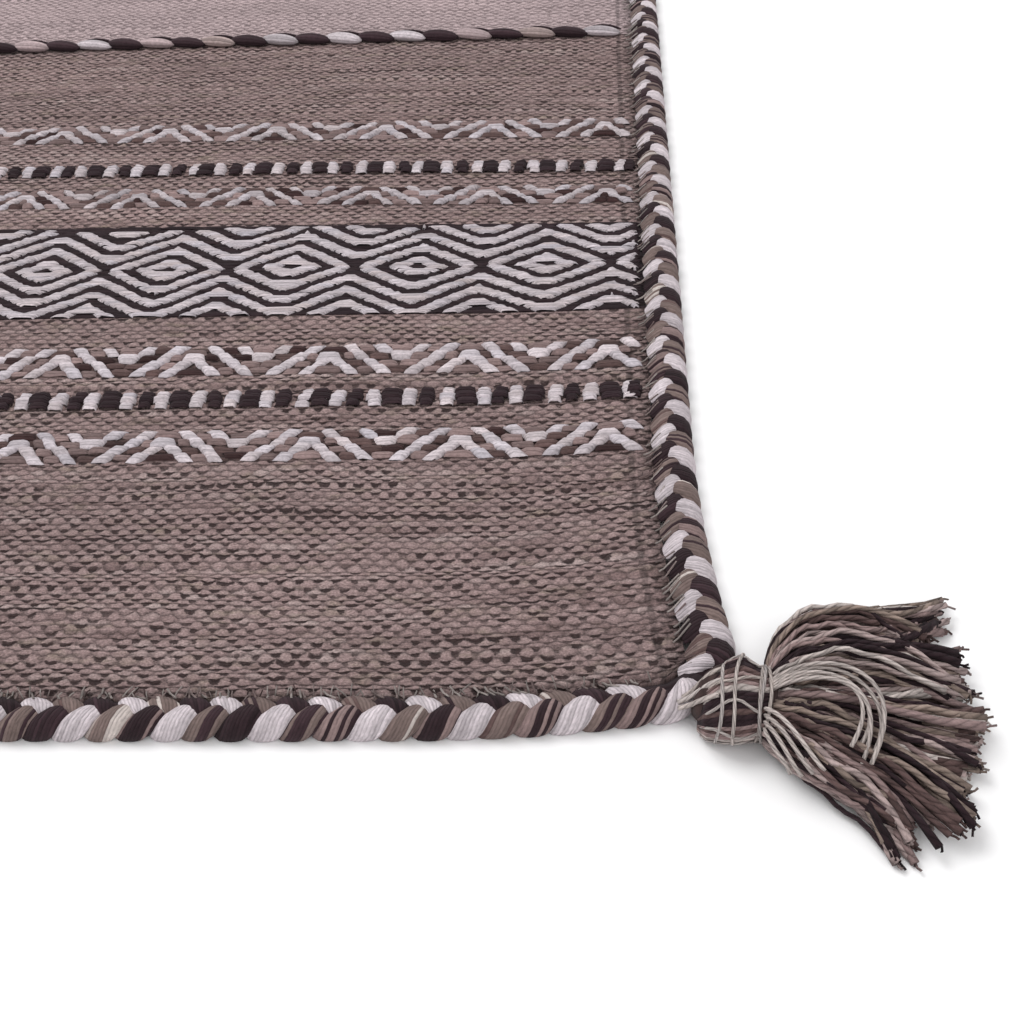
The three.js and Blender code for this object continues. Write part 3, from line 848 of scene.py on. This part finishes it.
# Plaited edging: fat chunks of three colours over its outer edge, and smaller ones onto the field.
# Profiles run from the plait's crown, as distance out from the field and height. widths are shares of a
# chunk's half width at each point of the profile.
PLAIT_MIDDLE = 8.25
PLAIT_CORE = (8.0, 4.3)
PLAIT_CORE_SIZE = np.array([6.4, 3.9])
PLAIT_CORE_STEP = 12
OUTER_CHUNKS = {
    "profile": np.array([
        (5.2, 6.6), (7.6, 8.1), (10.6, 8.7), (13.4, 8.2), (15.3, 6.4), (15.9, 4.1), (15.7, 1.9),
        (15.0, 0.5),
    ]),
    "widths": np.array([0.55, 0.85, 1.0, 1.0, 1.0, 1.0, 1.0, 0.95]),
    "lean": 10.0,
    "outward": 1,
}
INNER_CHUNKS = {
    "profile": np.array([
        (9.6, 6.8), (8.0, 8.0), (6.2, 8.3), (4.3, 7.8), (2.6, 6.7), (1.1, 5.4), (-0.2, 4.3),
    ]),
    "widths": np.array([0.5, 0.85, 1.0, 1.0, 0.95, 0.85, 0.65]),
    "lean": 5.0,
    "outward": -1,
}
CHUNK_HALF_WIDTH = 6.5 / 36
CHUNK_BULGE = 1.5
CHUNK_ACROSS = np.linspace(-1, 1, 7)
CHUNK_COLOURS = (
    {"yarn": OFF_WHITE, "accents": (OFF_WHITE * 0.8, OFF_WHITE * 0.9)},
    {"yarn": BARK, "accents": (TAUPE * 0.8, BARK * 1.5, BARK * 0.7)},
    {"yarn": BROWN, "accents": (BARK * 1.5, BARK * 1.3, TAUPE_DARK, CREAM)},
)
DARK_CHUNK = 1
END_PLAIT = {"length": RUG_WIDTH, "first_white": -576.2, "lay": 34.6, "frayed": True}
SIDE_PLAIT = {"length": RUG_LENGTH, "first_white": 863.6, "lay": 36.6, "frayed": False}


def plait_to_side(length):
    """Bends plait points (along, outward, up) round the corners, in the side's own frame."""
    inner = FIELD_CORNER_RADIUS
    straight = length / 2 - PLAIT_WIDTH - PIECE_GAP - inner
    bend_radius = inner + PIECE_GAP + PLAIT_MIDDLE

    def bend(points):
        s, v = points[..., 0], points[..., 1]
        past = np.maximum(0, np.abs(s) - straight)
        angle = past / bend_radius
        radius = inner + PIECE_GAP + v
        u = np.sign(s) * (np.minimum(np.abs(s), straight) + radius * np.sin(angle))
        return u, radius * np.cos(angle) - inner

    return bend, straight + bend_radius * math.pi / 4


def add_chunks(joined, centres, picks, kind, half_width, bent):
    """One slanting yarn chunk at each centre along the plait."""
    profile, outward = kind["profile"], kind["outward"]
    count, strips = len(centres), len(CHUNK_ACROSS)
    steps = np.linalg.norm(np.diff(profile, axis=0), axis=1)
    arc = np.concatenate([[0], np.cumsum(steps)])[:, None]
    run = np.gradient(profile, axis=0)
    run /= np.linalg.norm(run, axis=1, keepdims=True)
    normal = outward * np.stack([-run[:, 1], run[:, 0]], -1)
    bulge = CHUNK_BULGE * (1 - CHUNK_ACROSS ** 2) ** 0.7 - 0.7 * CHUNK_ACROSS ** 4
    lift = bulge * rng.uniform(0.9, 1.12, (count, 1, 1))
    wide = rng.uniform(0.94, 1.06, (count, 1, 1))
    tilt = kind["lean"] * rng.uniform(0.85, 1.15, (count, 1, 1))
    along = centres[:, None, None] + tilt * (arc / arc[-1] - 0.5)
    along = along + half_width * wide * kind["widths"][:, None] * CHUNK_ACROSS
    out = profile[:, :1] + normal[:, :1] * lift
    up = np.maximum(profile[:, 1:] + normal[:, 1:] * lift, 0.1)
    points = bent(stacked(along, out, up)).reshape(count, -1, 3)
    quads = grid_corners(len(profile), strips) + (0, 1, strips + 1, strips)
    if outward < 0:
        quads = quads[:, ::-1]
    start = STRAND_SPACING * rng.integers(0, 500, (count, 1, 1))
    grid = stacked((CHUNK_ACROSS + 1) / 2 * 0.998, start + 100 + arc).reshape(count, -1, 2)
    yarns = np.array([colour["yarn"] for colour in CHUNK_COLOURS])[picks]
    yarns = yarns * rng.uniform(0.88, 1.1, (count, 1))
    accents = np.array([rng.choice(CHUNK_COLOURS[pick]["accents"]) for pick in picks])
    joined.add(points, yarns, accents, (quads, grid[:, quads]))


def make_plait(name, plait, to_rug, material):
    joined = Joined()
    bend, reach = plait_to_side(plait["length"])

    def bent(points):
        return stacked(*settle(*to_rug(*bend(points))), points[..., 2])

    first_white = plait["first_white"]
    chunk = plait["lay"] / len(CHUNK_COLOURS)
    half_width = CHUNK_HALF_WIDTH * plait["lay"]
    core = stacked(np.linspace(-reach, reach, int(2 * reach / PLAIT_CORE_STEP)), *PLAIT_CORE)[None]
    add_tubes(joined, core, PLAIT_CORE_SIZE, 10, BARK * 0.8, None, bent)
    start = math.ceil((-reach - first_white) / chunk)
    number = np.arange(start, math.floor((reach - first_white) / chunk) + 1)
    picks = number % len(CHUNK_COLOURS)
    outer = first_white + number * chunk + rng.normal(0, 0.4, len(number))
    add_chunks(joined, outer, picks, OUTER_CHUNKS, half_width, bent)
    inner = first_white + (number + 1.5) * chunk + rng.normal(0, 0.4, len(number))
    keep = np.abs(inner) < reach - 2
    add_chunks(joined, inner[keep], picks[keep], INNER_CHUNKS, half_width, bent)
    add_stitches(joined, inner[keep], picks[keep], bent)
    if plait["frayed"]:
        add_fray(joined, reach, bent)
    return joined.piece(f"plait_{name}", material, "plaited_edging", (f"edging_{name}",))


# Sewing yarns that show where the edging meets the field, up to three fine ones on every inner chunk
STITCHES = 3
STITCH_SPREAD = 3.0
STITCH_SHAPE = np.array([(3.0, 8.9), (0.8, 7.4), (-1.6, 5.4), (-3.8, 4.9)])
STITCH_LEAN = np.array([0.4, 1.6, 2.8, 4.0])
STITCH_STRAY = np.array([0, 0.4, 0.8, 1.6])
STITCH_SIZE = np.array([0.42, 0.4])


def add_stitches(joined, centres, picks, bent):
    order = np.arange(STITCHES) - (STITCHES - 1) / 2
    s = (centres[:, None] + STITCH_SPREAD * order).ravel()
    count = len(s)
    s = s + rng.normal(0, 0.7, count) - 1.5
    along = s[:, None] + STITCH_LEAN[None] * rng.uniform(0.2, 1.5, (count, 1))
    out = STITCH_SHAPE[None, :, 0] + rng.normal(0, 0.8, (count, 1)) * STITCH_STRAY
    up = STITCH_SHAPE[None, :, 1] + rng.normal(0, 0.15, (count, 1))
    paths = stacked(along, out, up)
    chance = rng.uniform(size=(count, 1))
    on_dark = np.repeat(picks == DARK_CHUNK, STITCHES)[:, None]
    pale = np.where(chance < 0.5, CREAM, TAUPE_PALE)
    mixed = np.where(chance < 0.35, CREAM, np.where(chance < 0.75, TAUPE, TAUPE_DARK))
    colours = np.where(on_dark, pale, mixed) * rng.uniform(0.7, 1.05, (count, 1))
    shown = (on_dark | (chance < 0.45))[:, 0]
    add_tubes(joined, paths[shown], STITCH_SIZE, 4, colours[shown], None, bent)


# Fine frayed ends that stand out of the field along the two end plaits
FRAY_SPACING = 2.6
FRAY_SIZE = np.array([0.3, 0.3])
FRAY_FROM_CORNER = 20


def add_fray(joined, reach, bent):
    s = np.arange(-reach + FRAY_FROM_CORNER, reach - FRAY_FROM_CORNER, FRAY_SPACING)
    count = len(s)
    s = s + rng.normal(0, 1.2, count)
    t = np.linspace(0, 1, 3)[None]
    along = s[:, None] + rng.normal(0, 2.4, (count, 1)) * t
    out = rng.uniform(-1.0, 2.5, (count, 1)) - rng.uniform(2.0, 6.0, (count, 1)) * t
    up = 5.2 + rng.uniform(0.0, 2.2, (count, 1)) * np.sin(2.2 * t) + 0.6
    chance = rng.uniform(size=(count, 1))
    colours = np.where(chance < 0.5, CREAM, np.where(chance < 0.8, TAUPE_PALE, TAUPE_DARK))
    colours = colours * rng.uniform(0.75, 1.05, (count, 1))
    add_tubes(joined, stacked(along, out, up), FRAY_SIZE, 3, colours, None, bent)


# Tassels, along their own axis from the corner outwards, y towards the rug's end
TASSEL_PLACE = 66
TASSEL_TURN = 8
TASSEL_SETBACK = 2
YARN_CHOICES = np.array([TAUPE, TAUPE_PALE, TAUPE_DARK, BARK, CREAM, TAUPE_OLIVE])
HEAD_ALONG = np.array([0.0, 3, 8, 13, 19, 24])
HEAD_HALF_WIDTH = np.array([5.0, 11, 16, 18, 15, 14.5])
HEAD_HALF_HEIGHT = np.array([6.0, 9.8, 11.4, 11.2, 9.8, 9.4])
HEAD_LEAN = np.array([6.0, 5, 2, 0, 0, 0])
HEAD_YARNS = 44
HEAD_YARN_SIZE = np.array([1.5, 1.5])
HEAD_SKIN = 1.5
HEAD_SHARES = np.array([0.3, 0.1, 0.26, 0.24, 0.04, 0.06])
HOOPS = (
    {"at": 6.0, "lean": 1.2, "out": 0.8},
    {"at": 12.4, "lean": -1.0, "out": 0.8},
    {"at": 19.6, "lean": 0.8, "out": 0.5},
    {"at": 21.2, "lean": -0.5, "out": 0.9},
    {"at": 22.6, "lean": 0.9, "out": 0.7},
)
HOOP_SIZE = np.array([0.65, 0.6])
NET_ANGLES = np.radians([5, 50, 92, 138, 200, 330])
NET_SIZE = np.array([0.6, 0.55])
TIE_START = np.array([(-8.0, 0.0, 8.6), (-8.5, 2.4, 9.0), (-8.0, 4.8, 8.4)])
TIE_END = np.array([(6.0, -4.0, 21.0), (7.0, 2.5, 22.6), (6.0, 9.0, 21.5)])
TIE_SIZE = np.array([1.0, 0.9])


def head_point(along, angle, out, lowest):
    half_width = np.interp(along, HEAD_ALONG, HEAD_HALF_WIDTH)
    half_height = np.interp(along, HEAD_ALONG, HEAD_HALF_HEIGHT)
    y = np.interp(along, HEAD_ALONG, HEAD_LEAN) + (half_width + out) * np.cos(angle)
    z = half_height + (half_height + out) * np.sin(angle)
    return stacked(along, y, np.maximum(z, lowest))


def bezier(a, b, c, d, stations):
    t = np.linspace(0, 1, stations)[None, :, None]
    a, b, c, d = (p[:, None] for p in (a, b, c, d))
    return a * (1 - t) ** 3 + 3 * b * t * (1 - t) ** 2 + 3 * c * t * t * (1 - t) + d * t ** 3


def add_head(joined):
    """Yarns over a core, tied round with hoops, a net of cream strands and a tie to the rug's corner."""
    along = np.linspace(0.2, 24, 10)
    angle = 2 * np.pi * (np.arange(HEAD_YARNS) + yarn_rng.uniform(-0.2, 0.2, HEAD_YARNS)) / HEAD_YARNS
    twist = 0.012 * along[None] + yarn_rng.normal(0, 0.03, (HEAD_YARNS, 1))
    paths = head_point(along, angle[:, None] + twist, -1.2, 1.3)
    picks = yarn_rng.choice(len(YARN_CHOICES), HEAD_YARNS, p=HEAD_SHARES)
    add_tubes(joined, paths, HEAD_YARN_SIZE, 6, YARN_CHOICES[picks])

    core_along = np.linspace(-0.5, 26, 12)
    core_lean = np.interp(core_along, HEAD_ALONG, HEAD_LEAN)
    half_width = np.interp(core_along, HEAD_ALONG, HEAD_HALF_WIDTH) - HEAD_SKIN
    half_height = np.interp(core_along, HEAD_ALONG, HEAD_HALF_HEIGHT) - HEAD_SKIN
    core = stacked(core_along, core_lean, half_height + HEAD_SKIN)[None]
    add_tubes(joined, core, stacked(half_width, half_height), 16, TAUPE_DARK * 0.4)

    angle = np.linspace(0, 2 * np.pi, 29)
    for hoop in HOOPS:
        at = hoop["at"] + hoop["lean"] * np.sin(angle + 0.6) + 0.4 * np.sin(3 * angle + hoop["at"])
        path = head_point(at, angle, hoop["out"], 1.0)[None]
        add_tubes(joined, path, HOOP_SIZE, 6, varied(CREAM * 0.85, 1))
    along = np.linspace(0.5, 21, 10)
    angle = NET_ANGLES[:, None] + 0.14 * np.sin(along / 3.4 + NET_ANGLES[:, None] * 5)
    net = head_point(along, angle, 0.6, 1.0)
    add_tubes(joined, net, NET_SIZE, 6, varied(CREAM * 0.85, len(net)))

    tie = bezier(TIE_START, TIE_START + (5, 0, 1.5), TIE_END - (6, 0, 2), TIE_END, 10)
    add_tubes(joined, tie, TIE_SIZE, 6, varied(CREAM * 0.9, len(tie)))


# Skirt of yarns in locks. Tips are placed from its far side to its near one, as the photograph has them.
SKIRT_YARNS = 260
SKIRT_STATIONS = 16
SKIRT_LOCKS = 40
SKIRT_SHARES = np.array([0.18, 0.16, 0.18, 0.23, 0.09, 0.16])
NECK = 25
TIP_FIBRES = 2
TIP_FIBRE_SHAPE = np.array([-0.3, 0.4, 1.0])[:, None]
TIP_FIBRE_SIZE = np.array([0.5, 0.5])
TIP_SIDE = np.array([-1.0, -0.75, -0.33, 0.03, 0.7, 1.0])
TIP_X = np.array([86.0, 88.0, 96.0, 100.0, 89.0, 71.0])
TIP_Y = np.array([-61.0, -47.0, -20.0, 2.0, 43.0, 54.0])


def skirt_paths():
    """Where the skirt's yarns run: out of the neck, over and down to their tips, in locks."""
    count = SKIRT_YARNS
    lock = np.arange(count) % SKIRT_LOCKS
    lock_side = 2 * np.linspace(0, 1, SKIRT_LOCKS) ** 1.15 - 1 + yarn_rng.normal(0, 0.04, SKIRT_LOCKS)
    lock_tip = lock_side + yarn_rng.normal(0, 0.08, SKIRT_LOCKS)
    lock_high = yarn_rng.uniform(0, 1, SKIRT_LOCKS)
    lock_length = 1 - 0.2 * yarn_rng.uniform(0, 1, SKIRT_LOCKS) ** 2
    side = np.clip(lock_side[lock] + yarn_rng.normal(0, 0.08, count), -1, 1)
    tip_side = np.clip(lock_tip[lock] + yarn_rng.normal(0, 0.045, count), -1, 1)
    high = np.clip(0.6 * lock_high[lock] + 0.4 * yarn_rng.uniform(0, 1, count), 0, 1)
    near = side > 0
    from_middle = np.abs(side)
    height = high * (1 - 0.3 * from_middle - 0.15 * ramp(-side, 0.8, 1.0))
    root = stacked(21.5, 12.5 * side, 4 + 12.5 * height)
    first_x = NECK + np.where(near, 2.0, -4.0) * from_middle + 10 * (1 - from_middle)
    first = stacked(first_x, np.where(near, 26.0, 47.0) * side, 3 + 27 * height)
    second_y = np.where(near, 33.0, 57.0) * side + yarn_rng.normal(0, 5, count)
    second = stacked(50 + yarn_rng.normal(0, 5, count), second_y, 2.5 + 25 * height)
    shorten = lock_length[lock] - yarn_rng.uniform(0, 0.07, count)
    tip_x = NECK + (np.interp(tip_side, TIP_SIDE, TIP_X) - NECK) * shorten
    tip_y = np.interp(tip_side, TIP_SIDE, TIP_Y) * shorten
    lock_rise = yarn_rng.uniform(0.2, 1.0, SKIRT_LOCKS)[lock]
    tip = stacked(tip_x, tip_y, 1.4 + 14 * height * lock_rise)
    return bezier(root, first, second, tip, SKIRT_STATIONS), lock


def add_skirt(joined):
    paths, lock = skirt_paths()
    count = len(paths)
    t = np.linspace(0, 1, SKIRT_STATIONS)[None]
    phase = yarn_rng.uniform(0, 2 * np.pi, (count, 1))
    waves = yarn_rng.uniform(5, 10, (count, 1))
    sway = yarn_rng.uniform(0.4, 2.6, (count, 1)) * np.minimum(1, 2.2 * t) * (1 - 0.5 * t)
    lock_hook = yarn_rng.normal(0, 4.5, SKIRT_LOCKS)[lock] + yarn_rng.normal(0, 1.2, count)
    hook = lock_hook[:, None] * np.maximum(0, t - 0.7) ** 2 / 0.09
    crimp = yarn_rng.uniform(0.3, 1.1, (count, 1)) * np.minimum(1, 3 * t)
    tight = yarn_rng.uniform(20, 34, (count, 1))
    paths[..., 1] += sway * np.sin(phase + waves * t) + crimp * np.sin(3 * phase + tight * t) + hook
    paths[..., 2] += 0.8 * crimp * np.cos(3 * phase + tight * t)
    paths[..., 2] += 0.6 * sway * np.sin(2 * phase + waves * t)
    paths[..., 0] += 0.5 * sway * np.cos(phase + waves * t)
    thick = yarn_rng.uniform(0.9, 1.45, (count, 1)) * (1 + 0.35 * np.clip((t - 0.85) / 0.15, 0, 1))
    paths[..., 2] = np.maximum(paths[..., 2], thick)
    picks = yarn_rng.choice(len(YARN_CHOICES), count, p=SKIRT_SHARES)
    colours = YARN_CHOICES[picks] * yarn_rng.uniform(0.8, 1.15, (count, 1))
    accents = colours * yarn_rng.uniform(0.5, 1.1, (count, 1))
    add_tubes(joined, paths, stacked(thick, thick), 5, colours, accents)

    ends = np.repeat(paths[:, -1], TIP_FIBRES, axis=0)
    ahead = np.repeat(paths[:, -1] - paths[:, -2], TIP_FIBRES, axis=0)
    ahead = ahead / np.linalg.norm(ahead, axis=-1, keepdims=True) + yarn_rng.normal(0, 0.45, ends.shape)
    length = yarn_rng.uniform(0.8, 2.4, (len(ends), 1, 1))
    fibres = ends[:, None] + ahead[:, None] * length * TIP_FIBRE_SHAPE
    fibres += yarn_rng.normal(0, 0.4, fibres.shape)
    fibres[..., 2] = np.maximum(fibres[..., 2], 0.5)
    add_tubes(joined, fibres, TIP_FIBRE_SIZE, 3, np.repeat(colours, TIP_FIBRES, axis=0))


# Cream strands on a skirt: one group bends over in its middle, one lies along its near side. Each group
# has the curve points of its first strand and the steps from there to the next strand's.
CREAM_SIZE = np.array([0.8, 0.8])
CREAMS_OVER = np.array([(22.0, -2.0, 18.0), (40.0, -12.0, 31.0), (70.0, -4.0, 27.0), (62.0, 26.0, 16.0)])
OVER_STEPS = np.array([(0, 0.8, -0.2), (0.5, 1.6, -0.4), (-1.0, 2.0, -0.4), (-3.0, -0.6, 0.1)])
CREAMS_BESIDE = np.array([(22.0, 9.0, 17.0), (25.0, 16.0, 25.0), (32.0, 23.0, 23.0), (43.0, 31.0, 15.0)])
BESIDE_STEPS = np.array([(0, 1.2, -1.8), (-0.5, 2.2, -2.4), (-1.2, 2.2, -2.4), (-3.6, 0.2, -1.8)])


def add_loose_creams(joined):
    root, first, second, tip = CREAMS_OVER[:, None] + np.arange(5)[:, None] * OVER_STEPS[:, None]
    first = first + yarn_rng.normal(0, 1.6, first.shape)
    second = second + yarn_rng.normal(0, 2.4, second.shape)
    tip = tip + yarn_rng.normal(0, 2.4, tip.shape)
    over = bezier(root, first, second, tip, SKIRT_STATIONS)
    beside = CREAMS_BESIDE[:, None] + np.arange(4)[:, None] * BESIDE_STEPS[:, None]
    paths = np.concatenate([over, bezier(*beside, SKIRT_STATIONS)])
    colours = CREAM * yarn_rng.uniform(0.85, 1.1, (len(paths), 1))
    t = np.linspace(0, 1, SKIRT_STATIONS)[None]
    phase = yarn_rng.uniform(0, 2 * np.pi, (len(paths), 1))
    paths[..., 1] += 1.2 * t * np.sin(phase + 6 * t)
    paths[..., 2] += 0.8 * t * np.sin(2 * phase + 5 * t)
    add_tubes(joined, paths, CREAM_SIZE, 5, colours)


def make_tassel(side, end, name, material):
    joined = Joined()
    add_head(joined)
    add_skirt(joined)
    add_loose_creams(joined)
    radius = FIELD_CORNER_RADIUS + PIECE_GAP + PLAIT_WIDTH
    at = math.radians(TASSEL_PLACE)
    corner = settle(HALF_WIDTH - radius * (1 - math.cos(at)), HALF_LENGTH - radius * (1 - math.sin(at)))
    turn = math.radians(TASSEL_TURN)
    for points in joined.points:
        x, y = points[:, 0] + TASSEL_SETBACK, points[:, 1].copy()
        points[:, 0] = side * (corner[0] + x * math.cos(turn) - y * math.sin(turn))
        points[:, 1] = end * (corner[1] + x * math.sin(turn) + y * math.cos(turn))
    if side * end < 0:
        joined.flip()
    return joined.piece(f"tassel_yarns_{name}", material, "tassel_yarn", (f"tassel_{name}",))


# Studio, in metres and watts
FLOOR_HALF = 6.0
LIGHTS = (
    {"name": "key", "place": (-1.2, 0.4, 3.0), "target": (0.2, -0.6, 0), "size": 2.4, "power": 75},
    {"name": "fill", "place": (1.8, -2.6, 1.8), "target": (0.4, -0.7, 0), "size": 2.0, "power": 18},
)


def make_floor():
    corners = [(x * FLOOR_HALF, y * FLOOR_HALF, 0) for x, y in ((-1, -1), (1, -1), (1, 1), (-1, 1))]
    mesh = bpy.data.meshes.new("floor")
    mesh.from_pydata(corners, [], [(0, 1, 2, 3)])
    mesh.materials.append(Graph("floor_paint").surface({"Base Color": np.full(3, 0.9), "Roughness": 0.9}))
    obj = add_object("floor", mesh)


def make_lights():
    """Soft light from above and all round."""
    world = bpy.data.worlds.new("studio")
    world.use_nodes = True
    background = world.node_tree.nodes["Background"]
    background.inputs["Color"].default_value = (1.0, 0.99, 1.0, 1)
    background.inputs["Strength"].default_value = 0.75
    bpy.context.scene.world = world
    for lamp in LIGHTS:
        data = bpy.data.lights.new(lamp["name"], "AREA")
        data.size = lamp["size"]
        data.energy = lamp["power"]
        light = add_object(lamp["name"], data)
        light.location = lamp["place"]
        toward = Vector(lamp["target"]) - Vector(lamp["place"])
        light.rotation_euler = toward.to_track_quat("-Z", "Y").to_euler()
    bpy.context.scene.view_settings.view_transform = "Standard"


float_yarn = yarn_material(
    "float_yarn", lines=6, twist=0.0, groove_shade=0.12, relief_size=0.4, accent_share=0.2)
plait_yarn = yarn_material(
    "plait_yarn", lines=9, twist=0.0, groove_shade=0.14, relief_size=0.35, accent_share=0.3)
tassel_yarn = yarn_material(
    "tassel_yarn", lines=3, twist=0.2, groove_shade=0.3, relief_size=0.6, accent_share=0.25)

field = make_field(field_material())
bands = make_bands(-1, "front", float_yarn) + make_bands(1, "back", float_yarn)
cords = [make_cord(-1, "front", plait_yarn), make_cord(1, "back", plait_yarn)]
plaits = [
    make_plait("front", END_PLAIT, lambda u, v: (-u, -FIELD_HALF_LENGTH - v), plait_yarn),
    make_plait("right", SIDE_PLAIT, lambda u, v: (FIELD_HALF_WIDTH + v, -u), plait_yarn),
    make_plait("back", END_PLAIT, lambda u, v: (u, FIELD_HALF_LENGTH + v), plait_yarn),
    make_plait("left", SIDE_PLAIT, lambda u, v: (-FIELD_HALF_WIDTH - v, u), plait_yarn),
]
for end, end_name in ((-1, "front"), (1, "back")):
    for side, side_name in ((1, "right"), (-1, "left")):
        make_tassel(side, end, f"{end_name}_{side_name}", tassel_yarn)
bands + cords + plaits
make_floor()
make_lights()
